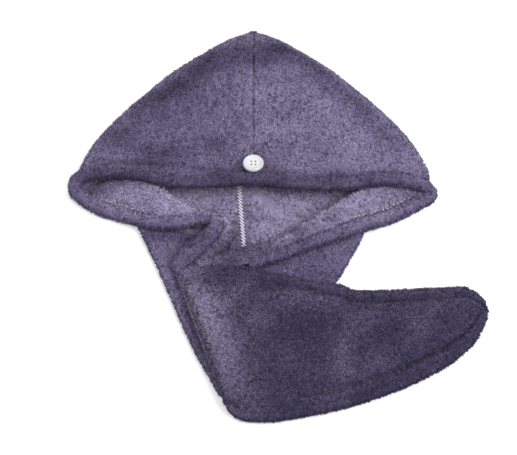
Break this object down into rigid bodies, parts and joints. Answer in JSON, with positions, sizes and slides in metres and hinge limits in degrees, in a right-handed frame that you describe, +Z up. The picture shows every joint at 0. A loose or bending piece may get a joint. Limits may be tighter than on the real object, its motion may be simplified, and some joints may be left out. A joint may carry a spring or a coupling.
{
  "type": "hair turban towel",
  "caption": "Fleece hair turban towel lying flat: hollow pointed hood with a rolled brim and a button, open mouth, and a tapered hollow tail folded over beside it.",
  "frame": {"origin": "middle of the laid out towel's outline, on the surface that it lies on", "axes": "+Z up from the surface, +Y towards the hood's point, +X to the right with the button uppermost"},
  "size_m": [0.3174, 0.3454, 0.0327],
  "materials": {
    "outside_fleece": "matt short coral fleece",
    "inside_fleece": "matt longer nap",
    "seam_thread": "polyester overlock thread",
    "button_white": "soft gloss resin",
    "elastic": "covered elastic cord"
  },
  "bodies": {
    "root": {"hood_left_panel": "outside_fleece", "hood_right_panel": "outside_fleece", "brim_hem": "outside_fleece", "left_lower_hem": "inside_fleece", "right_lower_hem": "inside_fleece", "left_lapel": "inside_fleece", "right_lapel": "inside_fleece", "centre_seam_overlock": "seam_thread", "tail_base": "outside_fleece", "tail_flap": "outside_fleece", "button": "button_white", "elastic_loop": "elastic"}
  },
  "joints": []
}
